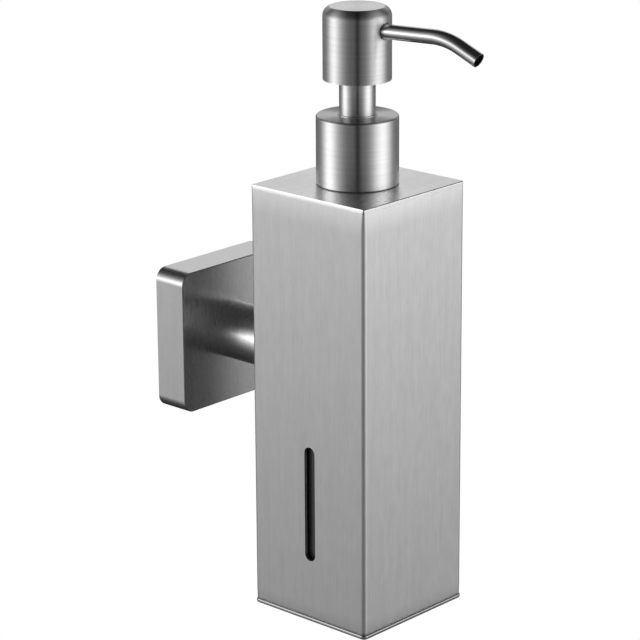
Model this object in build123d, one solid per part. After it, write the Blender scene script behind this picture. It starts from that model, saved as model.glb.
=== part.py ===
"""Wall mounted soap dispenser: a square steel housing on a round arm, with a lift-out lotion pump.

Millimetres. The origin is the centre of the wall plate's back face, which lies on the wall (y = 0).
+Z is up, +Y goes into the wall and the dispenser stands out towards -Y.
The pump's axis is vertical, at x = 0, y = PUMP_Y. Heights named "over the lid" count from the housing's top.
"""

from build123d import *
import math
import os

# Housing
BODY = 50.0  # outside width and depth of the square tube
BODY_WALL = 1.2
BODY_HEIGHT = 145.0  # tube only
BODY_CORNER_R = 1.5
TUBE_INSIDE_R = 0.4  # corners inside the square tube
LID = 1.5  # thickness of the top plate
LID_INSET = 0.24  # how much its two side edges lean in from the seam to the top
LID_ROUND = 0.4
FOOT = 1.65  # thickness of the bottom plate
FOOT_PROUD = 0.2  # how far the bottom plate stands out of the tube
FOOT_ROUND = 0.65
FOOT_RIM = 3.0  # height of the two ribs that locate the bottom plate in the tube
FOOT_RIM_WALL = 1.0
SLOT_LENGTH = 40.5
SLOT_WIDTH = 4.6
SLOT_Y = -0.7  # from the pump's axis
SLOT_TOP = 85.7  # below the lid

# Wall fixing and arm
FLANGE = 50.0
FLANGE_DEPTH = 12.75
FLANGE_CORNER_R = 4.3
FLANGE_WALL = 2.0
FLANGE_FRONT = 3.0
FLANGE_CHAMFER = 0.25
ARM_R = 10.0
ARM_LENGTH = 32.65
PLATE = 2.5  # wall plate thickness
PLATE_WIDTH = 36.0
PLATE_LIP = 7.5  # how far its lips reach from the wall
PLATE_GAP = 2.0  # under its lower lip, for the set screw
WALL_HOLE_R = 2.6
WALL_HOLE_SPACING = 24.0
SET_SCREW_Y = -5.5
SET_SCREW_R = 2.0
SET_SCREW_RECESS = 0.3
SET_SCREW_CHAMFER = 0.4
SET_SCREW_HEX = 2.0
ARM_SCREW_R = 3.0
ARM_SCREW_HOLE_R = 3.2
ARM_SCREW_HEAD_R = 5.0
ARM_SCREW_HEAD = 5.2
ARM_SCREW_HEX = 5.0
ARM_WASHER_R = 6.0
BODY_SCREW_R = 2.5
BODY_SCREW_HOLE_R = 2.75
BODY_SCREW_HEAD_R = 4.75
BODY_SCREW_HEAD = 2.6
BODY_SCREW_ROUND = 1.8
BODY_SCREW_HEX = 3.0
BODY_WASHER_R = 7.0
WASHER = 1.0
SCREW_GRIP = 8.5  # length of each screw inside the arm
SCREW_HOLE = 10.0  # depth of the arm's threaded holes

# Bottle
BOTTLE_X = 46.3
BOTTLE_Y = 40.6
BOTTLE_SHIFT_Y = -1.0  # leaves room for the screw head behind it
BOTTLE_WALL = 1.3
BOTTLE_CORNER_R = 4.5
BOTTLE_EDGE_R = 2.2
BOTTLE_LIFT = 0.5  # gap under the bottle
NECK_R = 10.8
NECK_BORE_R = 9.25
NECK_TOP = 15.0  # over the lid
THREAD_R = 11.9
THREAD_PITCH = 3.2
THREAD_TURNS = 1.6
THREAD_START = 6.5  # over the lid
THREAD_ROOT = 2.2  # width of the thread at the neck
THREAD_CREST = 1.0
THREAD_BITE = 0.3  # how far it sinks into the neck
THREAD_GAP = 0.2  # radial, to the cap's bore
NECK_GAP = 0.4  # radial, to the hole in the lid

# Collar
COLLAR_R = 13.65
COLLAR_HEIGHT = 23.0
COLLAR_SHEET = 0.5
COLLAR_HOLE_R = 6.15
COLLAR_ROUND = 0.7
COLLAR_CHAMFER = 0.3  # at its foot
COLLAR_LIP_R = 6.5  # raised lip round the hole
COLLAR_LIP = 0.45
COLLAR_LIP_ROUND = 0.2
INSERT_LOW = 0.4  # over the lid
INSERT_LIP = 1.6  # height of the lip that presses on the pump's flange
INSERT_HOLE_GAP = 0.3

# Head and stem
STEM_R = 6.0
STEM_BORE_R = 5.5
HEAD_R = 11.3
HEAD_BOTTOM = 34.9  # over the lid
HEAD_TOP = 58.85
HEAD_SHEET = 0.6
HEAD_ROUND_W = 2.3
HEAD_ROUND_H = 3.2
SLEEVE_BOTTOM = 19.0
SLEEVE_TOP = 41.0
CORE_RAISED = 0.6  # over the head's lower rim
CORE_DROP = 0.3  # under the shell's roof
CORE_ROUND_W = 2.7
CORE_ROUND_H = 3.5

# Spout
SPOUT_R = 2.45
SPOUT_BORE_R = 2.05
SPOUT_HOLE_R = 2.9  # in the head's shell
SPOUT_Z = 51.43  # over the lid, where its line meets the pump's axis
SPOUT_TURN = 5.5  # degrees from straight ahead, towards +X
SPOUT_RISE = 1.6  # degrees
SPOUT_BEND = 26.8  # degrees
SPOUT_BEND_R = 23.2
SPOUT_RUN = 29.7  # pump's axis to the bend
SPOUT_END = 7.85  # straight length after the bend
SPOUT_IN = 4.0  # where it starts inside the head

# Pump
WELL_R = 6.65
WELL_FLOOR = 4.0  # over the lid
CHAMBER_R = 4.75
CHAMBER_DEPTH = 33.0  # below the lid
PUMP_WALL = 1.0
PUMP_FLANGE_R = 11.4
ROD_R = 3.0
ROD_BORE_R = 1.5
ROD_TOP = 46.0
BUSH_R = 5.25
BUSH_TOP = 21.0
RUN = 0.05  # radial clearance of a running fit
BALL_R = 2.0
SPRING_R = 3.8  # to the middle of the wire
WIRE_R = 0.45
SPRING_TURNS = 7.5
DIP_R = 3.0
DIP_BORE_R = 2.2
DIP_GAP = 4.0  # from its end to the tube's lower end
GASKET = 1.0
PUMP_FLANGE = 1.2
SEAT_CONE = 1.5  # depth of the ball's seat
SEAT_R = 2.6
SEAT_HOLE_R = 1.5
SEAT_FLOOR = 4.0  # from the seat down to the end of the dip tube
TAIL = 10.0  # length of the dip tube's socket
SHOULDER = 1.5  # under the well's floor
ROD_FOOT_TOP = -3.2  # over the lid
ROD_FOOT = 1.2
ROD_FOOT_R = 4.2
ROD_INLET_R = 0.8
ROD_INLET_RISE = 1.2
PISTON_GAP = 0.4  # to the well's floor
PISTON_LIP = 1.4
PISTON_WAIST = 0.6  # how much thinner it is between its lips
PISTON_SLOPE = 0.4

# Positions that follow from the sizes
ARM_FRONT_Y = -FLANGE_DEPTH - ARM_LENGTH
PUMP_Y = ARM_FRONT_Y - BODY / 2
LID_Z = 62.7  # the housing's top over the arm's axis
TUBE_TOP = LID_Z - LID
TUBE_BOTTOM = TUBE_TOP - BODY_HEIGHT
FLANGE_LOW = NECK_TOP + GASKET
FLANGE_TOP = FLANGE_LOW + PUMP_FLANGE
SEAT_Z = -CHAMBER_DEPTH
TAIL_TOP = SEAT_Z - SEAT_FLOOR
TAIL_BOTTOM = TAIL_TOP - TAIL
ROD_FOOT_LOW = ROD_FOOT_TOP - ROD_FOOT


def up(z):
    """Place on the pump's axis, at a height over the lid."""
    return Pos(0, PUMP_Y, LID_Z + z)


def ring(outer, inner, low, high):
    """Round tube or disc on the pump's axis, between two heights over the lid."""
    body = Cylinder(outer, high - low, align=(Align.CENTER, Align.CENTER, Align.MIN))
    if inner > 0:
        body -= Cylinder(inner, high - low, align=(Align.CENTER, Align.CENTER, Align.MIN))
    return up(low) * body


def turned(*points):
    """Solid of revolution about the pump's axis from (radius, height over the lid) corners."""
    face = make_face(Polyline(*points, close=True))
    return up(0) * revolve(Plane.XZ * face, Axis.Z)


def along_y(radius, start, end, x=0.0, z=0.0):
    """Round bar along Y between two y values."""
    bar = Cylinder(radius, abs(end - start))
    return Pos(x, (start + end) / 2, z) * Rot(90, 0, 0) * bar


def square_block(size_x, size_y, corner, low, high, y=PUMP_Y):
    """Upright block with rounded vertical corners, between two z values."""
    return Pos(0, y, low) * extrude(RectangleRounded(size_x, size_y, corner), high - low)


def hex_socket(width, depth):
    """Hexagonal socket with its mouth at z = 0, going down."""
    return extrude(RegularPolygon(width / math.sqrt(3), 6), -depth)


# Housing


def body_tube():
    inside = BODY - 2 * BODY_WALL
    tube = square_block(BODY, BODY, BODY_CORNER_R, TUBE_BOTTOM, TUBE_TOP)
    tube -= square_block(inside, inside, TUBE_INSIDE_R, TUBE_BOTTOM, TUBE_TOP)
    slot_middle = (-BODY / 2, PUMP_Y + SLOT_Y, LID_Z - SLOT_TOP - SLOT_LENGTH / 2)
    slot_face = Plane(origin=slot_middle, x_dir=(0, 0, 1), z_dir=(1, 0, 0))
    tube -= extrude(slot_face * SlotOverall(SLOT_LENGTH, SLOT_WIDTH), BODY_WALL * 2, both=True)
    return tube - along_y(BODY_SCREW_HOLE_R, ARM_FRONT_Y + 1, ARM_FRONT_Y - BODY_WALL - 1)


def top_plate():
    """Welded lid; its edges towards +X and -X lean in."""
    foot, head = BODY / 2, BODY / 2 - LID_INSET
    section = make_face(Polyline((-foot, TUBE_TOP), (foot, TUBE_TOP), (head, LID_Z), (-head, LID_Z), close=True))
    wedge = Pos(0, PUMP_Y, 0) * extrude(Plane.XZ * section, BODY, both=True)
    plate = square_block(BODY, BODY, BODY_CORNER_R, TUBE_TOP, LID_Z)
    plate = fillet(plate.faces().sort_by(Axis.Z)[-1].edges(), LID_ROUND) & wedge
    return plate - ring(THREAD_R + NECK_GAP, 0, -LID, 0)


def bottom_plate():
    size = BODY + 2 * FOOT_PROUD
    plate = square_block(size, size, BODY_CORNER_R + FOOT_PROUD, TUBE_BOTTOM - FOOT, TUBE_BOTTOM)
    faces = plate.faces().sort_by(Axis.Z)
    plate = fillet(faces[0].edges() + faces[-1].edges(), FOOT_ROUND)
    outer = BODY - 2 * BODY_WALL - 2 * RUN
    ribs = square_block(outer, outer, TUBE_INSIDE_R, TUBE_BOTTOM, TUBE_BOTTOM + FOOT_RIM)
    bottom = (Align.CENTER, Align.CENTER, Align.MIN)
    ribs -= Pos(0, PUMP_Y, TUBE_BOTTOM) * Box(BODY, outer - 2 * FOOT_RIM_WALL, FOOT_RIM, align=bottom)
    return plate + ribs


def neck_thread():
    path = Helix(THREAD_PITCH, THREAD_PITCH * THREAD_TURNS, NECK_R)
    root, crest, height = THREAD_ROOT / 2, THREAD_CREST / 2, THREAD_R - NECK_R
    section = make_face(
        Polyline((-THREAD_BITE, -root), (0, -root), (height, -crest), (height, crest),
                 (0, root), (-THREAD_BITE, root), close=True)
    )
    start = Plane(origin=path @ 0, x_dir=(1, 0, 0), z_dir=path % 0)
    return up(THREAD_START) * sweep(start * section, path=path, is_frenet=True)


def bottle():
    low = TUBE_BOTTOM + BOTTLE_LIFT
    high = TUBE_TOP
    y = PUMP_Y + BOTTLE_SHIFT_Y
    wall = BOTTLE_WALL
    shell = square_block(BOTTLE_X, BOTTLE_Y, BOTTLE_CORNER_R, low, high, y)
    shell = fillet(shell.faces().filter_by(Axis.Z).edges(), BOTTLE_EDGE_R)
    hollow = square_block(BOTTLE_X - 2 * wall, BOTTLE_Y - 2 * wall, BOTTLE_CORNER_R - wall, low + wall,
                          high - wall, y)
    hollow = fillet(hollow.faces().filter_by(Axis.Z).edges(), BOTTLE_EDGE_R - wall)
    shell = shell - hollow + ring(NECK_R, 0, -LID - wall, NECK_TOP) + neck_thread()
    return shell - ring(NECK_BORE_R, 0, -LID - 2 * wall, NECK_TOP)


# Wall fixing and arm


def flange_cover():
    depth = FLANGE_DEPTH
    face = Plane(origin=(0, 0, 0), x_dir=(1, 0, 0), z_dir=(0, -1, 0))
    block = extrude(face * RectangleRounded(FLANGE, FLANGE, FLANGE_CORNER_R), depth)
    block = chamfer(block.faces().sort_by(Axis.Y)[0].edges(), FLANGE_CHAMFER)
    inside = FLANGE - 2 * FLANGE_WALL
    block -= extrude(
        face * RectangleRounded(inside, inside, FLANGE_CORNER_R - FLANGE_WALL), depth - FLANGE_FRONT
    )
    block -= along_y(ARM_SCREW_HOLE_R, -depth - 1, 0)
    return block - Pos(0, SET_SCREW_Y, -FLANGE / 2) * Cylinder(SET_SCREW_R + RUN, 3 * FLANGE_WALL)


def wall_plate():
    """Channel whose upper lip carries the cover; the set screw bears on its lower lip."""
    top = FLANGE / 2 - FLANGE_WALL
    bottom = -top + PLATE_GAP
    corner = (Align.CENTER, Align.MAX, Align.MIN)
    plate = Pos(0, 0, bottom) * Box(PLATE_WIDTH, PLATE, top - bottom, align=corner)
    for z in (bottom, top - PLATE):
        plate += Pos(0, 0, z) * Box(PLATE_WIDTH, PLATE_LIP, PLATE, align=corner)
    for x in (-WALL_HOLE_SPACING / 2, WALL_HOLE_SPACING / 2):
        plate -= along_y(WALL_HOLE_R, -PLATE - 1, 1, x=x)
    return plate


def flange_set_screw():
    low = -FLANGE / 2 + SET_SCREW_RECESS
    high = -FLANGE / 2 + FLANGE_WALL + PLATE_GAP
    bottom = (Align.CENTER, Align.CENTER, Align.MIN)
    screw = Pos(0, 0, low) * Cylinder(SET_SCREW_R, high - low, align=bottom)
    screw = chamfer(screw.edges().filter_by(GeomType.CIRCLE).sort_by(Axis.Z)[-1], SET_SCREW_CHAMFER)
    screw -= Pos(0, 0, low) * Rot(180, 0, 0) * hex_socket(SET_SCREW_HEX, SET_SCREW_HEX)
    return Pos(0, SET_SCREW_Y, 0) * screw


def arm():
    bar = along_y(ARM_R, -FLANGE_DEPTH, ARM_FRONT_Y)
    bar -= along_y(ARM_SCREW_R + RUN, -FLANGE_DEPTH, -FLANGE_DEPTH - SCREW_HOLE)
    return bar - along_y(BODY_SCREW_R + RUN, ARM_FRONT_Y, ARM_FRONT_Y + SCREW_HOLE)


def washer(outer, inner, start):
    return along_y(outer, start, start + WASHER) - along_y(inner, start, start + WASHER)


def arm_washer():
    return washer(ARM_WASHER_R, ARM_SCREW_HOLE_R, -FLANGE_DEPTH + FLANGE_FRONT)


def arm_screw():
    """Cap screw through the cover's front into the arm."""
    under_head = -FLANGE_DEPTH + FLANGE_FRONT + WASHER
    top = under_head + ARM_SCREW_HEAD
    screw = along_y(ARM_SCREW_R, -FLANGE_DEPTH - SCREW_GRIP, under_head)
    screw += along_y(ARM_SCREW_HEAD_R, under_head, top)
    return screw - Pos(0, top, 0) * Rot(-90, 0, 0) * hex_socket(ARM_SCREW_HEX, ARM_SCREW_HEX * 0.6)


def body_washer():
    return washer(BODY_WASHER_R, BODY_SCREW_HOLE_R, ARM_FRONT_Y - BODY_WALL - WASHER)


def body_screw():
    """Button-head screw from inside the tube into the arm."""
    under_head = ARM_FRONT_Y - BODY_WALL - WASHER
    top = under_head - BODY_SCREW_HEAD
    head = along_y(BODY_SCREW_HEAD_R, top, under_head)
    head = fillet(head.edges().filter_by(GeomType.CIRCLE).sort_by(Axis.Y)[0], BODY_SCREW_ROUND)
    screw = head + along_y(BODY_SCREW_R, under_head, ARM_FRONT_Y + SCREW_GRIP)
    return screw - Pos(0, top, 0) * Rot(90, 0, 0) * hex_socket(BODY_SCREW_HEX, BODY_SCREW_HEX * 0.6)


# Collar


def collar_shell():
    """Drawn sleeve with a rounded shoulder and a small raised lip round the stem."""
    top = COLLAR_HEIGHT + COLLAR_LIP
    shell = ring(COLLAR_R, 0, RUN, COLLAR_HEIGHT)
    rims = shell.edges().filter_by(GeomType.CIRCLE).sort_by(Axis.Z)
    shell = fillet(rims[-1], COLLAR_ROUND)
    shell = chamfer(shell.edges().filter_by(GeomType.CIRCLE).sort_by(Axis.Z)[0], COLLAR_CHAMFER)
    shell -= ring(COLLAR_R - COLLAR_SHEET, 0, RUN, COLLAR_HEIGHT - COLLAR_SHEET)
    lip = ring(COLLAR_LIP_R, 0, COLLAR_HEIGHT - COLLAR_SHEET, top)
    lip = fillet(lip.edges().filter_by(GeomType.CIRCLE).sort_by(Axis.Z)[-1], COLLAR_LIP_ROUND)
    return shell + lip - ring(COLLAR_HOLE_R, 0, 0, top)


def collar_insert():
    """Screw cap inside the steel sleeve; its bore is plain, clear of the bottle's thread."""
    outer = COLLAR_R - COLLAR_SHEET
    bore = THREAD_R + THREAD_GAP
    hole = COLLAR_HOLE_R + INSERT_HOLE_GAP
    top = COLLAR_HEIGHT - COLLAR_SHEET
    roof = FLANGE_TOP + RUN
    lip = roof + INSERT_LIP
    return turned((bore, INSERT_LOW), (outer, INSERT_LOW), (outer, top), (bore, top), (bore, lip),
                  (hole, lip), (hole, roof), (bore, roof))


# Pump


def gasket():
    return ring(PUMP_FLANGE_R, NECK_BORE_R, NECK_TOP, FLANGE_LOW)


def pump_cylinder():
    """Flange, well for the stem, pump chamber, ball seat and the socket for the dip tube."""
    wall = PUMP_WALL
    shoulder = WELL_FLOOR - SHOULDER
    return turned(
        (WELL_R, FLANGE_TOP), (PUMP_FLANGE_R, FLANGE_TOP), (PUMP_FLANGE_R, FLANGE_LOW),
        (WELL_R + wall, FLANGE_LOW), (WELL_R + wall, shoulder), (CHAMBER_R + wall, shoulder),
        (CHAMBER_R + wall, SEAT_Z - wall), (DIP_R + wall, TAIL_TOP - wall), (DIP_R + wall, TAIL_BOTTOM),
        (DIP_R + RUN, TAIL_BOTTOM), (DIP_R + RUN, TAIL_TOP), (SEAT_HOLE_R, TAIL_TOP),
        (SEAT_HOLE_R, SEAT_Z - SEAT_CONE), (SEAT_R, SEAT_Z), (CHAMBER_R, SEAT_Z), (CHAMBER_R, WELL_FLOOR),
        (WELL_R, WELL_FLOOR),
    )


def guide_bush():
    """Bush that the rod slides in, with a foot pressed into the bottom of the well."""
    foot = WELL_R - RUN / 2
    step = WELL_FLOOR + SHOULDER
    return turned((ROD_R + RUN, WELL_FLOOR), (foot, WELL_FLOOR), (foot, step), (BUSH_R, step),
                  (BUSH_R, BUSH_TOP), (ROD_R + RUN, BUSH_TOP))


def valve_ball():
    lean = math.hypot(SEAT_R - SEAT_HOLE_R, SEAT_CONE)
    rest = (BALL_R - SEAT_HOLE_R * SEAT_CONE / lean) * lean / (SEAT_R - SEAT_HOLE_R)
    return up(SEAT_Z - SEAT_CONE + rest + RUN) * Sphere(BALL_R)


def pump_spring():
    height = ROD_FOOT_LOW - SEAT_Z - 2 * WIRE_R
    path = Helix(height / SPRING_TURNS, height, SPRING_R)
    wire = Plane(origin=path @ 0, z_dir=path % 0) * Circle(WIRE_R)
    return up(SEAT_Z + WIRE_R) * sweep(wire, path=path, is_frenet=True)


def dip_tube():
    return ring(DIP_R, DIP_BORE_R, -LID - BODY_HEIGHT + DIP_GAP, TAIL_TOP)


def piston():
    outer = CHAMBER_R - RUN
    waist = outer - PISTON_WAIST
    bore = ROD_R + RUN
    low, high = ROD_FOOT_TOP + RUN, WELL_FLOOR - PISTON_GAP
    lip, slope = PISTON_LIP, PISTON_LIP + PISTON_SLOPE
    return turned((bore, low), (outer, low), (outer, low + lip), (waist, low + slope), (waist, high - slope),
                  (outer, high - lip), (outer, high), (bore, high))


def piston_rod():
    """Hollow rod with a foot under the piston and two inlets that the piston covers."""
    rod = ring(ROD_R, 0, ROD_FOOT_LOW, ROD_TOP) + ring(ROD_FOOT_R, 0, ROD_FOOT_LOW, ROD_FOOT_TOP)
    rod -= ring(ROD_BORE_R, 0, ROD_FOOT_TOP, ROD_TOP)
    return rod - up(ROD_FOOT_TOP + ROD_INLET_RISE) * Rot(90, 0, 0) * Cylinder(ROD_INLET_R, 3 * ROD_R)


# Head


def head_profile(radius, low, high, round_w, round_h):
    """Round block whose top edge is a convex arc, tangent to its side."""
    arc_r = (round_w**2 + round_h**2) / (2 * round_w)
    start, end = (radius, high - round_h), (radius - round_w, high)
    half = math.asin(round_h / arc_r) / 2
    middle = (radius - arc_r + arc_r * math.cos(half), high - round_h + arc_r * math.sin(half))
    edge = ThreePointArc(start, middle, end)
    sides = Polyline(end, (0, high), (0, low), (radius, low), start)
    return up(0) * revolve(Plane.XZ * make_face([edge, *sides.edges()]), Axis.Z)


def spout_plane():
    """Upright plane of the spout: x runs out from the pump's axis and y is up."""
    turn = math.radians(SPOUT_TURN)
    return Plane(origin=(0, PUMP_Y, LID_Z), x_dir=(math.sin(turn), -math.cos(turn), 0),
                 z_dir=(-math.cos(turn), -math.sin(turn), 0))


def spout_line(start, end):
    """Straight part of the spout's centre line between two distances from the pump's axis."""
    rise = math.tan(math.radians(SPOUT_RISE))
    return Line((start, SPOUT_Z + start * rise), (end, SPOUT_Z + end * rise))


def bar_on(line, radius):
    section = Plane(origin=line @ 0, z_dir=line % 0) * Circle(radius)
    return spout_plane() * sweep(section, path=line)


def spout():
    run = spout_line(SPOUT_IN, SPOUT_RUN)
    bend = JernArc(run @ 1, run % 1, SPOUT_BEND_R, -SPOUT_BEND)
    end = Line(bend @ 1, bend @ 1 + (bend % 1) * SPOUT_END)
    path = Wire([run.edge(), bend.edge(), end.edge()])
    start = Plane(origin=path @ 0, z_dir=path % 0)
    outer = sweep(start * Circle(SPOUT_R), path=path)
    return spout_plane() * (outer - sweep(start * Circle(SPOUT_BORE_R), path=path))


def head_shell():
    shell = head_profile(HEAD_R, HEAD_BOTTOM, HEAD_TOP, HEAD_ROUND_W, HEAD_ROUND_H)
    inner, roof = HEAD_R - HEAD_SHEET, HEAD_TOP - HEAD_SHEET
    shell -= head_profile(inner, HEAD_BOTTOM, roof, HEAD_ROUND_W, HEAD_ROUND_H)
    return shell - bar_on(spout_line(SPOUT_IN, HEAD_R + 5), SPOUT_HOLE_R)


def head_core():
    """Plastic core with the soap channel and the sockets for the spout, the rod and the stem sleeve."""
    radius = HEAD_R - HEAD_SHEET - RUN
    high = HEAD_TOP - HEAD_SHEET - CORE_DROP
    core = head_profile(radius, HEAD_BOTTOM + CORE_RAISED, high, CORE_ROUND_W, CORE_ROUND_H)
    core -= ring(STEM_R + RUN, 0, HEAD_BOTTOM, SLEEVE_TOP)
    core -= ring(ROD_R + RUN, 0, SLEEVE_TOP - 1, ROD_TOP)
    core -= ring(ROD_BORE_R, 0, ROD_TOP - 1, SPOUT_Z)
    core -= bar_on(spout_line(0, SPOUT_IN + 0.1), ROD_BORE_R)
    return core - bar_on(spout_line(SPOUT_IN, HEAD_R + 5), SPOUT_R + RUN)


def stem_sleeve():
    return ring(STEM_R, STEM_BORE_R, SLEEVE_BOTTOM, SLEEVE_TOP)


NODES = (
    body_tube, top_plate, bottom_plate, bottle,
    arm, arm_screw, arm_washer, body_screw, body_washer, flange_cover, wall_plate, flange_set_screw,
    collar_shell, collar_insert,
    pump_cylinder, guide_bush, gasket, valve_ball, pump_spring, dip_tube, piston, piston_rod,
    head_shell, head_core, spout, stem_sleeve,
)

os.makedirs("parts", exist_ok=True)
for make in NODES:
    export_step(make(), f"parts/{make.__name__}.step")
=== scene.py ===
import math

import bmesh
import bpy
from mathutils import Matrix, Vector


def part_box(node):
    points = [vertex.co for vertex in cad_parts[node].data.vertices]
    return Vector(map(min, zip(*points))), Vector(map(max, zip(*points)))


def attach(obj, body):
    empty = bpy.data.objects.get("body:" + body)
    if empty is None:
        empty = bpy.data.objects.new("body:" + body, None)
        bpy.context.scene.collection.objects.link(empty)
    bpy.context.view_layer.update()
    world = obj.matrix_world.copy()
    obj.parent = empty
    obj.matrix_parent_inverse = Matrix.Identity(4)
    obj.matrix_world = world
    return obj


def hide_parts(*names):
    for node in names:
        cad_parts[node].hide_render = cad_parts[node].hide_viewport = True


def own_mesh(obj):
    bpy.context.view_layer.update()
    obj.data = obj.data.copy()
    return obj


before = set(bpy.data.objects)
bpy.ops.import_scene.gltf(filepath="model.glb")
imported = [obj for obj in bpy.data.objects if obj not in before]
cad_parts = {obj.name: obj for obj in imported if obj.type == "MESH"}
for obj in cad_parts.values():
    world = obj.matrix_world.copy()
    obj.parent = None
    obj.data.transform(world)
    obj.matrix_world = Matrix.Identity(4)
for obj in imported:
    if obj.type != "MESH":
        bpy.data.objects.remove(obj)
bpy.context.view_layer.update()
MM = 0.001


# Camera, light and backdrop

CAMERA_AZIMUTH = -47.337
CAMERA_ELEVATION = 17.486
CAMERA_ROLL = -0.367
CAMERA_DISTANCE = 0.940
CAMERA_LENS = 158.33
AIM_DOWN = 50 * MM  # below the lid, on the pump's axis
AIM_SIDE = -12.63 * MM
AIM_UP = 2.57 * MM


def direction(azimuth, elevation):
    """Unit vector from the object towards an azimuth and elevation in degrees; azimuth 0 is -Y, 90 is +X."""
    a, e = math.radians(azimuth), math.radians(elevation)
    return Vector((math.sin(a) * math.cos(e), -math.cos(a) * math.cos(e), math.sin(e)))


def centre_of(node):
    low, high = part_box(node)
    return (low + high) / 2


def add_camera():
    back = direction(CAMERA_AZIMUTH, CAMERA_ELEVATION)
    right = Vector((0, 0, 1)).cross(back).normalized()
    up = back.cross(right)
    axis = centre_of("collar_shell")
    aim = Vector((axis.x, axis.y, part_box("top_plate")[1].z - AIM_DOWN)) + right * AIM_SIDE + up * AIM_UP
    roll = math.radians(CAMERA_ROLL)
    across = right * math.cos(roll) + up * math.sin(roll)
    upright = up * math.cos(roll) - right * math.sin(roll)
    data = bpy.data.cameras.new("studio_camera")
    data.lens = CAMERA_LENS
    data.clip_start, data.clip_end = 0.05, 20
    camera = bpy.data.objects.new("studio_camera", data)
    place = aim + back * CAMERA_DISTANCE
    camera.matrix_world = Matrix((
        (across.x, upright.x, back.x, place.x),
        (across.y, upright.y, back.y, place.y),
        (across.z, upright.z, back.z, place.z),
        (0, 0, 0, 1),
    ))
    bpy.context.scene.collection.objects.link(camera)
    bpy.context.scene.camera = camera


class Tree:
    """Short calls for building a node tree."""

    def __init__(self, tree):
        self.tree = tree
        self.tree.nodes.clear()

    def add(self, kind, **settings):
        made = self.tree.nodes.new(kind)
        for name, value in settings.items():
            setattr(made, name, value)
        return made

    def feed(self, socket, value):
        if isinstance(value, bpy.types.NodeSocket):
            self.tree.links.new(value, socket)
        else:
            socket.default_value = float(value) if isinstance(value, int) else value

    def math(self, operation, *values):
        made = self.add("ShaderNodeMath", operation=operation)
        for socket, value in zip(made.inputs, values):
            self.feed(socket, value)
        return made.outputs[0]

    def vector(self, operation, *values):
        made = self.add("ShaderNodeVectorMath", operation=operation)
        for socket, value in zip(made.inputs, values):
            self.feed(socket, value)
        return made.outputs["Value" if operation in ("LENGTH", "DOT_PRODUCT") else "Vector"]

    def split(self, vector):
        made = self.add("ShaderNodeSeparateXYZ")
        self.feed(made.inputs[0], vector)
        return made.outputs

    def join(self, x, y, z):
        made = self.add("ShaderNodeCombineXYZ")
        for socket, value in zip(made.inputs, (x, y, z)):
            self.feed(socket, value)
        return made.outputs[0]

    def noise(self, vector, scale, detail=2.0, roughness=0.5, distortion=0.0):
        made = self.add("ShaderNodeTexNoise")
        self.feed(made.inputs["Vector"], vector)
        made.inputs["Scale"].default_value = scale
        made.inputs["Detail"].default_value = detail
        made.inputs["Roughness"].default_value = roughness
        made.inputs["Distortion"].default_value = distortion
        return made.outputs["Fac"]

    def facing(self, axis):
        """How much the surface faces along an axis of the object, either way."""
        normal = self.add("ShaderNodeTexCoord").outputs["Normal"]
        return self.math("ABSOLUTE", self.split(normal)[axis])

    def mix(self, share, low, high):
        """From low to high as the share goes from 0 to 1."""
        return self.math("ADD", low, self.math("MULTIPLY", share, self.math("SUBTRACT", high, low)))

    def span(self, value, low, high, from_low=0.0, from_high=1.0):
        made = self.add("ShaderNodeMapRange")
        self.feed(made.inputs["Value"], value)
        ends = {"From Min": from_low, "From Max": from_high, "To Min": low, "To Max": high}
        for name, number in ends.items():
            self.feed(made.inputs[name], number)
        return made.outputs["Result"]


# Glows: azimuth, elevation, half width and half height in degrees, power of the fade in elevation, strength
GLOWS = (
    (-131.5, 4, 24, 14, 1, 5.0),  # soft box on the left
    (24, 0, 30, 12, 1, 5.2),  # soft box on the right
    (-95, 2, 16, 16, 2, 0.5),  # its spill towards the front
    (133, 19, 42, 12, 2, 1.35),  # behind, low over the wall
    (-50, -15, 75, 40, 2, 0.22),  # the room in front
    (180, -15, 20, 40, 2, 0.1),  # the room at the sides
    (90, -15, 15, 40, 2, 0.1),
)
ROOM_LIGHT = 0.03
FLAG_WIDTH = 7.0  # half width of the dark gap in front, between the two boxes
FLAG_DEPTH = 1.0


def add_light():
    """A dim room with soft boxes, painted on the world by direction."""
    world = bpy.data.worlds.new("studio_light")
    world.use_nodes = True
    bpy.context.scene.world = world
    t = Tree(world.node_tree)
    x, y, z = t.split(t.add("ShaderNodeTexCoord").outputs["Generated"])
    azimuth = t.math("DEGREES", t.math("ARCTAN2", x, t.math("MULTIPLY", y, -1.0)))
    elevation = t.math("DEGREES", t.math("ARCSINE", z))

    def away(angle):
        return t.math("WRAP", t.math("SUBTRACT", azimuth, angle), 180.0, -180.0)

    def bell(angle, width):
        ratio = t.math("DIVIDE", angle, width)
        return t.math("EXPONENT", t.math("MULTIPLY", t.math("MULTIPLY", ratio, ratio), -1.0))

    flag = t.math("MULTIPLY", bell(away(CAMERA_AZIMUTH), FLAG_WIDTH), FLAG_DEPTH)
    light = ROOM_LIGHT
    for glow_azimuth, glow_elevation, width, height, power, strength in GLOWS:
        fade = t.math("ABSOLUTE", t.math("DIVIDE", t.math("SUBTRACT", elevation, glow_elevation), height))
        fade = t.math("EXPONENT", t.math("MULTIPLY", t.math("POWER", fade, power), -1.0))
        glow = t.math("MULTIPLY", bell(away(glow_azimuth), width), fade)
        light = t.math("ADD", light, t.math("MULTIPLY", glow, strength))
    light = t.math("MULTIPLY", light, t.math("SUBTRACT", 1.0, flag))
    background = t.add("ShaderNodeBackground")
    t.feed(background.inputs["Strength"], light)
    out = t.add("ShaderNodeOutputWorld")
    t.feed(out.inputs["Surface"], background.outputs[0])
    bpy.context.scene.view_settings.view_transform = "Standard"


FLOOR_DROP = 1.4  # the floor lies this far below the arm
DOME_RADIUS = 5.0


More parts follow.
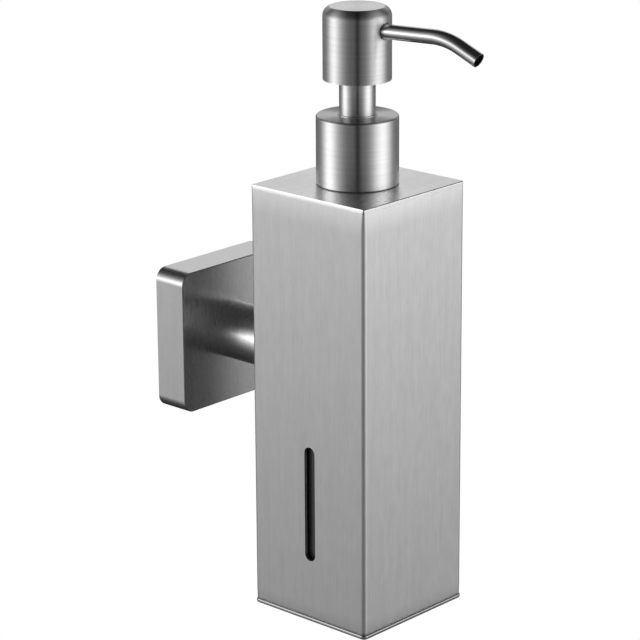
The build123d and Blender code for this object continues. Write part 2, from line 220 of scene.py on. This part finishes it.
def pale_material(name):
    material = bpy.data.materials.new(name)
    material.use_nodes = True
    t = Tree(material.node_tree)
    glow = t.add("ShaderNodeEmission")
    glow.inputs["Strength"].default_value = 1.0
    t.feed(t.add("ShaderNodeOutputMaterial").inputs["Surface"], glow.outputs[0])
    return material


def only_camera(obj):
    obj.visible_glossy = False
    obj.visible_diffuse = False
    obj.visible_transmission = False
    obj.visible_shadow = False


def add_stage():
    """A pale floor and a pale dome, which only the camera sees."""
    pale = pale_material("pale_stage")
    under = (0, 0, -FLOOR_DROP)
    bpy.ops.mesh.primitive_circle_add(vertices=96, radius=DOME_RADIUS, fill_type="NGON", location=under)
    floor = bpy.context.object
    floor.name = "floor"
    bpy.ops.mesh.primitive_uv_sphere_add(segments=64, ring_count=32, radius=DOME_RADIUS)
    dome = bpy.context.object
    dome.name = "backdrop"
    for obj in (floor, dome):
        obj.data.materials.append(pale)
        only_camera(obj)


# Materials


def start_material(name):
    material = bpy.data.materials.new(name)
    material.use_nodes = True
    t = Tree(material.node_tree)
    shader = t.add("ShaderNodeBsdfPrincipled")
    t.feed(t.add("ShaderNodeOutputMaterial").inputs["Surface"], shader.outputs[0])
    return material, t, shader


def bump(t, shader, height, depth, strength=1.0):
    made = t.add("ShaderNodeBump")
    made.inputs["Strength"].default_value = strength
    made.inputs["Distance"].default_value = depth
    t.feed(made.inputs["Height"], height)
    t.feed(shader.inputs["Normal"], made.outputs[0])


def grey(t, value):
    """A neutral colour from one number."""
    made = t.add("ShaderNodeCombineColor")
    for socket in made.inputs[:3]:
        t.feed(socket, value)
    return made.outputs[0]


def tangent(t, shader, axis, turn):
    made = t.add("ShaderNodeTangent", direction_type="RADIAL", axis=axis)
    t.feed(shader.inputs["Tangent"], made.outputs[0])
    shader.inputs["Anisotropic Rotation"].default_value = turn


CLOUD = (3.5 * MM, 3.5 * MM, 5.5 * MM)  # size of the soft mottling


def straight_tangent(t, shader):
    """Across the brushing: level on upright faces, and along Y on faces that look up."""
    normal = t.add("ShaderNodeTexCoord").outputs["Normal"]
    upward = t.math("ABSOLUTE", t.split(normal)["Z"])
    grain = t.join(upward, 0.0, t.math("SUBTRACT", 1.0, upward))
    t.feed(shader.inputs["Tangent"], t.vector("CROSS_PRODUCT", normal, grain))


def steel(name, tone, roughness, streak, anisotropy=0.7, grain=0.16, depth=0.004 * MM,
          painted_side_shade=None, painted_top_light=None):
    """Steel brushed straight: streak is the size of its fine lines along each axis of the object.

    The faces towards X can be darkened with painted shade, and those that look up lightened with painted
    light, each tone set for how the light falls on that side.
    """
    material, t, shader = start_material(name)
    where = t.add("ShaderNodeTexCoord").outputs["Object"]
    fine = t.noise(t.vector("DIVIDE", where, streak), 1.0, 3.0, 0.65)
    broad = t.noise(t.vector("DIVIDE", where, tuple(4.5 * s for s in streak)), 1.0, 2.0, 0.5)
    cloud = t.noise(t.vector("DIVIDE", where, CLOUD), 1.0, 3.0, 0.55)
    shade = t.math("ADD", t.span(fine, -grain, grain), t.span(broad, -0.06, 0.06))
    shade = t.math("ADD", shade, t.span(cloud, -0.06, 0.06))
    level = tone
    # painted shade on the faces towards X and painted light on the faces that look up
    if painted_side_shade:
        level = t.span(t.facing("X"), tone, painted_side_shade)
    if painted_top_light:
        level = t.span(t.facing("Z"), level, painted_top_light, 0.95, 1.0)
    t.feed(shader.inputs["Base Color"], grey(t, t.math("MULTIPLY", t.math("ADD", shade, 1.0), level)))
    t.feed(shader.inputs["Roughness"], t.math("ADD", t.span(fine, -0.05, 0.05), roughness))
    shader.inputs["Metallic"].default_value = 1.0
    shader.inputs["Anisotropic"].default_value = anisotropy
    if painted_top_light:
        straight_tangent(t, shader)
    else:
        tangent(t, shader, "Z", 0.0)
    bump(t, shader, fine, depth)
    return material


GROOVE = 0.16 * MM
ROUNDING_SHADE = 0.45  # painted shade: darkens a turned piece's rounded edge, as a share of its side's tone, in place of a dark reflection


def turned_steel(name, tone, roughness, axis, centre, flat, anisotropy=1.0, grain=0.16, depth=0.003 * MM):
    """Steel turned on a lathe: fine rings round an axis through a point.

    Flat is the roughness of its flat ends and their tone, which is painted shade: set darker than the side
    for how the light falls on them.
    """
    material, t, shader = start_material(name)
    where = t.vector("SUBTRACT", t.add("ShaderNodeTexCoord").outputs["Object"], tuple(centre))
    x, y, z = t.split(where)
    along, across = {"Y": (y, (x, z)), "Z": (z, (x, y))}[axis]
    radius = t.vector("LENGTH", t.join(across[0], across[1], 0.0))
    line = t.math("DIVIDE", t.math("ADD", along, radius), GROOVE)
    slow = 1 / (14 * MM)
    place = t.join(line, t.math("MULTIPLY", across[0], slow), t.math("MULTIPLY", across[1], slow))
    fine = t.noise(place, 1.0, 3.0, 0.6)
    broad = t.noise(t.vector("MULTIPLY", place, (0.2, 0.6, 0.6)), 1.0, 2.0, 0.5)
    shade = t.math("ADD", t.span(fine, -grain, grain), t.span(broad, -0.1, 0.1))
    facing = t.facing(axis)
    level = t.span(facing, 0.0, 1.0, 0.9, 0.99)
    # painted shade on the rounded edge between the side and the flat end
    rounded = t.span(facing, tone, ROUNDING_SHADE * tone, 0.08, 0.45)
    # painted shade: the flat ends take their own darker tone from flat
    colour = t.math("MULTIPLY", t.math("ADD", shade, 1.0), t.mix(level, rounded, flat[0]))
    t.feed(shader.inputs["Base Color"], grey(t, colour))
    rough = t.math("ADD", t.span(fine, -0.04, 0.04), t.span(level, roughness, flat[1]))
    t.feed(shader.inputs["Roughness"], rough)
    shader.inputs["Metallic"].default_value = 1.0
    shader.inputs["Anisotropic"].default_value = anisotropy
    tangent(t, shader, axis, 0.25)
    bump(t, shader, fine, depth)
    return material


def polished_steel(name, tone, roughness):
    material, t, shader = start_material(name)
    where = t.add("ShaderNodeTexCoord").outputs["Object"]
    fine = t.noise(where, 2600.0, 2.0, 0.6)
    cloud = t.noise(where, 160.0, 3.0, 0.55)
    shade = t.math("ADD", t.span(fine, -0.02, 0.02), t.span(cloud, -0.02, 0.02))
    t.feed(shader.inputs["Base Color"], grey(t, t.math("MULTIPLY", t.math("ADD", shade, 1.0), tone)))
    t.feed(shader.inputs["Roughness"], t.math("ADD", t.span(cloud, -0.03, 0.03), roughness))
    shader.inputs["Metallic"].default_value = 1.0
    bump(t, shader, fine, 0.001 * MM)
    return material


def plastic(name, colour, roughness, grain, spread=0.06):
    """Moulded plastic: slight mottling, a fine surface grain and uneven gloss."""
    material, t, shader = start_material(name)
    where = t.add("ShaderNodeTexCoord").outputs["Object"]
    fine = t.noise(where, 1 / grain, 2.0, 0.5)
    cloud = t.noise(where, 90.0, 3.0, 0.5)
    shade = t.math("ADD", 1.0, t.math("ADD", t.span(cloud, -spread, spread), t.span(fine, -0.02, 0.02)))
    tint = t.vector("SCALE", colour)
    t.feed(tint.node.inputs["Scale"], shade)
    t.feed(shader.inputs["Base Color"], tint)
    t.feed(shader.inputs["Roughness"], t.math("ADD", t.span(cloud, -0.05, 0.05), roughness))
    bump(t, shader, fine, 0.01 * MM)
    return material


def make_materials():
    pump = centre_of("collar_shell")
    upright = (0.32 * MM, 0.32 * MM, 8 * MM)
    crosswise = (9 * MM, 0.13 * MM, 0.13 * MM)
    return {
        # painted shade darkens the faces towards X of the tube and lid; painted light lightens the flange's
        # top
        "face": steel("brushed_upright", 0.8, 0.3, upright, anisotropy=0.9, painted_side_shade=0.62),
        "flange": steel("brushed_flange", 0.48, 0.28, upright, grain=0.08, depth=0.002 * MM, painted_top_light=0.7),
        "top": steel("brushed_flat", 0.76, 0.28, crosswise, anisotropy=0.3, painted_side_shade=0.47),
        "foot": steel("brushed_foot", 0.36, 0.26, crosswise, anisotropy=0.3),
        # the last pair of each turned piece is the painted-shade tone and the roughness of its flat ends
        "head": turned_steel("turned_head", 0.92, 0.42, "Z", pump, (0.72, 0.15)),
        "collar": turned_steel("turned_collar", 0.92, 0.38, "Z", pump, (0.44, 0.32)),
        "arm": turned_steel("turned_arm", 0.66, 0.28, "Y", (0, 0, 0), (0.6, 0.25),
                            anisotropy=0.8, grain=0.06, depth=0.001 * MM),
        "spout": polished_steel("polished_spout", 0.56, 0.2),
        "fastener": polished_steel("bright_zinc", 0.6, 0.24),
        "wire": polished_steel("drawn_wire", 0.6, 0.2),
        "plate": steel("zinc_plate", 0.52, 0.36, (0.3 * MM, 3 * MM, 0.3 * MM), anisotropy=0.2),
        "bottle": plastic("smoke_plastic", (0.028, 0.028, 0.030), 0.22, 0.4 * MM),
        "white": plastic("white_plastic", (0.78, 0.78, 0.76), 0.38, 0.25 * MM),
        "seal": plastic("seal_plastic", (0.66, 0.69, 0.72), 0.35, 0.25 * MM),
        "rubber": plastic("black_rubber", (0.03, 0.03, 0.03), 0.7, 0.2 * MM, spread=0.2),
        "tube": plastic("milky_tube", (0.82, 0.83, 0.84), 0.25, 0.5 * MM),
    }


LOOKS = {
    "face": ("body_tube",),
    "flange": ("flange_cover",),
    "top": ("top_plate",),
    "foot": ("bottom_plate",),
    "head": ("head_shell",),
    "collar": ("collar_shell", "stem_sleeve"),
    "arm": ("arm",),
    "spout": ("spout",),
    "fastener": ("arm_screw", "arm_washer", "body_screw", "body_washer", "flange_set_screw", "valve_ball"),
    "wire": ("pump_spring",),
    "plate": ("wall_plate",),
    "bottle": ("bottle",),
    "white": ("head_core", "collar_insert", "pump_cylinder", "guide_bush", "piston_rod"),
    "seal": ("piston",),
    "rubber": ("gasket",),
    "tube": ("dip_tube",),
}


def dress(obj, material):
    obj.data.materials.clear()
    obj.data.materials.append(material)


# Pieces finer than their CAD nodes

CORNER_R = 1.5 * MM
CORNER_STEPS = 8
CROWN_X = 0.17 * MM  # how much the faces towards X lean in over the top of the tube
CROWN_Y = 0.13 * MM
TOP_CORNER_R = 0.9 * MM  # at the seam under the lid
LID_CORNER_R = 0.45 * MM
CROWN_HEIGHT = 7.5 * MM
FOOT_CROWN = 0.075 * MM
FOOT_CROWN_HEIGHT = 4.5 * MM
FOOT_ROUND = 0.3 * MM
WALL = 1.2 * MM
SLOT_EDGE = 0.12 * MM
LID_LEAN = 0.12 * MM  # on the two sides towards X
LID_ROUND = 0.35 * MM
LID_HOLE_INSIDE = 1.35 * MM  # from the collar's outside to the lid's hole
SLOT_LENGTH = 40.5 * MM
SLOT_WIDTH = 4.6 * MM
SLOT_SHIFT = -0.7 * MM  # along Y, from the pump's axis
SLOT_DOWN = 85.7 * MM  # from the lid's top to the slot's top
SCREW_HOLE_R = 2.75 * MM


def outline(half_x, half_y, corner, centre, z):
    """Points of a rounded rectangle round a centre, at a height."""
    points = []
    for quarter, (side_x, side_y) in enumerate(((1, 1), (-1, 1), (-1, -1), (1, -1))):
        middle_x = centre.x + side_x * (half_x - corner)
        middle_y = centre.y + side_y * (half_y - corner)
        for step in range(CORNER_STEPS + 1):
            angle = math.radians(90 * (quarter + step / CORNER_STEPS))
            points.append((middle_x + corner * math.cos(angle), middle_y + corner * math.sin(angle), z))
    return points


def loft(name, rings):
    """Closed mesh through rings that have equally many points, with flat ends."""
    made = bmesh.new()
    rows = [[made.verts.new(point) for point in ring] for ring in rings]
    count = len(rows[0])
    for below, above in zip(rows, rows[1:]):
        for i in range(count):
            j = (i + 1) % count
            made.faces.new((below[i], below[j], above[j], above[i]))
    made.faces.new(list(reversed(rows[0])))
    made.faces.new(rows[-1])
    bmesh.ops.recalc_face_normals(made, faces=made.faces)
    mesh = bpy.data.meshes.new(name)
    made.to_mesh(mesh)
    made.free()
    obj = bpy.data.objects.new(name, mesh)
    bpy.context.scene.collection.objects.link(obj)
    return obj


def settle(obj):
    """Gives the object the mesh that its modifiers make."""
    bpy.context.view_layer.update()
    seen = obj.evaluated_get(bpy.context.evaluated_depsgraph_get())
    mesh = bpy.data.meshes.new_from_object(seen)
    obj.modifiers.clear()
    obj.data = mesh


def carve(obj, *cutters):
    """Cuts the cutters out of the object and removes them."""
    for cutter in cutters:
        cut = obj.modifiers.new("cut", "BOOLEAN")
        cut.operation = "DIFFERENCE"
        cut.solver = "EXACT"
        cut.object = cutter
    settle(obj)
    for cutter in cutters:
        bpy.data.objects.remove(cutter)


def smooth(obj, angle=40.0):
    """Smooth shading with true flats and crisp edges."""
    obj.data.polygons.foreach_set("use_smooth", [True] * len(obj.data.polygons))
    obj.data.set_sharp_from_angle(angle=math.radians(angle))
    flats = obj.modifiers.new("flats", "WEIGHTED_NORMAL")
    flats.keep_sharp = True
    settle(obj)


def bar(name, start, end, radius, steps=48):
    """Round bar between two points, along X, Y or Z."""
    way = (Vector(end) - Vector(start)).normalized()
    side = way.orthogonal().normalized()
    other = way.cross(side)
    turns = [2 * math.pi * i / steps for i in range(steps)]
    around = [radius * (side * math.cos(a) + other * math.sin(a)) for a in turns]
    return loft(name, [[Vector(end_point) + out for out in around] for end_point in (start, end)])


def slot_cutter(x_start, x_end, y, top):
    """Upright slot with round ends, cut along X."""
    half = SLOT_WIDTH / 2
    middles = (top - SLOT_LENGTH + half, top - half)
    steps = 16
    rings = []
    for x in (x_start, x_end):
        ring = []
        for turn, middle in enumerate(middles):
            for step in range(steps + 1):
                angle = math.radians(180 * (turn + 1 + step / steps))
                ring.append((x, y + half * math.cos(angle), middle + half * math.sin(angle)))
        rings.append(ring)
    return loft("slot_cutter", rings)


def make_tube():
    """Square tube whose faces lean in slightly at both ends, with its sight slot and screw hole."""
    low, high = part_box("body_tube")
    centre, half = (low + high) / 2, (high.x - low.x) / 2
    stations = [(low.z + FOOT_ROUND * (1 - math.cos(a)), FOOT_ROUND * (1 - math.sin(a)))
                for a in (math.radians(15 * i) for i in range(7))]
    stations += [(low.z + FOOT_ROUND + FOOT_CROWN_HEIGHT * i / 8, 0.0) for i in range(1, 9)]
    stations += [(high.z - CROWN_HEIGHT * (1 - i / 12), 0.0) for i in range(13)]
    rings = []
    for z, inset in stations:
        foot = max(0.0, 1 - (z - low.z) / FOOT_CROWN_HEIGHT)
        head = max(0.0, 1 - (high.z - z) / CROWN_HEIGHT)
        size = half - inset - FOOT_CROWN * foot**2
        corner = CORNER_R + (TOP_CORNER_R - CORNER_R) * head**2
        rings.append(outline(size - CROWN_X * head**2, size - CROWN_Y * head**2, corner, centre, z))
    tube = loft("housing_tube", rings)
    hollow = half - WALL
    ends = (low.z - WALL, high.z + WALL)
    inside = loft("hollow", [outline(hollow, hollow, 0.4 * MM, centre, z) for z in ends])
    lid_top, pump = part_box("top_plate")[1].z, centre_of("collar_shell")
    slot = slot_cutter(low.x - WALL, low.x + 2 * WALL, pump.y + SLOT_SHIFT, lid_top - SLOT_DOWN)
    arm = centre_of("arm")
    hole = bar("hole", (arm.x, high.y + WALL, arm.z), (arm.x, high.y - 2 * WALL, arm.z), SCREW_HOLE_R)
    carve(tube, inside, slot, hole)
    edges = tube.modifiers.new("edges", "BEVEL")
    edges.width, edges.segments, edges.limit_method = SLOT_EDGE, 2, "ANGLE"
    edges.angle_limit = math.radians(60)
    smooth(tube)
    return tube


def make_lid():
    """Top plate with a rounded upper edge; two of its sides lean in."""
    low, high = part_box("top_plate")
    centre, half = (low + high) / 2, (high.x - low.x) / 2
    height = high.z - low.z
    stations = [(i / 4 * (height - LID_ROUND), 0.0) for i in range(5)]
    stations += [(height - LID_ROUND * (1 - math.sin(a)), LID_ROUND * (1 - math.cos(a)))
                 for a in (math.radians(15 * i) for i in range(1, 7))]
    rings = []
    for rise, inset in stations:
        share = rise / height
        lean = max(0.4 * inset, LID_LEAN * share**2)
        half_x = half - CROWN_X * (1 + 2 * rise / CROWN_HEIGHT) - lean
        half_y = half - CROWN_Y * (1 + 2 * rise / CROWN_HEIGHT) - inset
        corner = TOP_CORNER_R + (LID_CORNER_R - TOP_CORNER_R) * share
        rings.append(outline(half_x, half_y, corner, centre, low.z + rise))
    lid = loft("top_cover", rings)
    pump = centre_of("collar_shell")
    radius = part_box("collar_shell")[1].x - pump.x - LID_HOLE_INSIDE
    carve(lid, bar("hole", (pump.x, pump.y, low.z - WALL), (pump.x, pump.y, high.z + WALL), radius, 96))
    smooth(lid, 60.0)
    return lid


SPRING_TURNS = 7.5
END_TURN_RISE = 1.0 * MM  # of the closed turn at each end
WIRE_R = 0.45 * MM


def make_spring():
    """Coil spring with a closed turn at each end."""
    low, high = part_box("pump_spring")
    centre = (low + high) / 2
    radius = (high.x - low.x) / 2 - WIRE_R
    length = high.z - low.z - 2 * WIRE_R
    per_turn, around = 40, 14
    pitch = (length - 2 * END_TURN_RISE) / (SPRING_TURNS - 2)
    rings = []
    for step in range(round(SPRING_TURNS * per_turn) + 1):
        turn = step / per_turn
        open_turns = min(max(turn - 1, 0), SPRING_TURNS - 2)
        rise = END_TURN_RISE * (turn - open_turns) + pitch * open_turns
        angle = 2 * math.pi * turn
        out = Vector((math.cos(angle), math.sin(angle), 0))
        middle = Vector((centre.x, centre.y, low.z + WIRE_R + rise)) + out * radius
        around_wire = [2 * math.pi * i / around for i in range(around)]
        ring = [out * math.cos(a) + Vector((0, 0, math.sin(a))) for a in around_wire]
        rings.append([middle + WIRE_R * point for point in ring])
    spring = loft("coil_spring", rings)
    smooth(spring, 60.0)
    return spring


def flatten(*nodes):
    """True flats on CAD nodes, with a modifier only."""
    for node in nodes:
        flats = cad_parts[node].modifiers.new("flats", "WEIGHTED_NORMAL")
        flats.keep_sharp = True


def place(obj, node, body, look, slot):
    dress(obj, materials[look])
    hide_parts(node)
    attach(obj, body)


def add_pieces():
    place(make_tube(), "body_tube", "housing", "face", "brushed_steel")
    place(make_lid(), "top_plate", "housing", "top", "brushed_steel")
    spring = make_spring()
    place(spring, "pump_spring", "pump", "wire", "spring_steel")
    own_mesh(spring)


add_camera()
add_light()
add_stage()
materials = make_materials()
for look, nodes in LOOKS.items():
    for node in nodes:
        dress(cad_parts[node], materials[look])
flatten("flange_cover", "bottom_plate")
add_pieces()
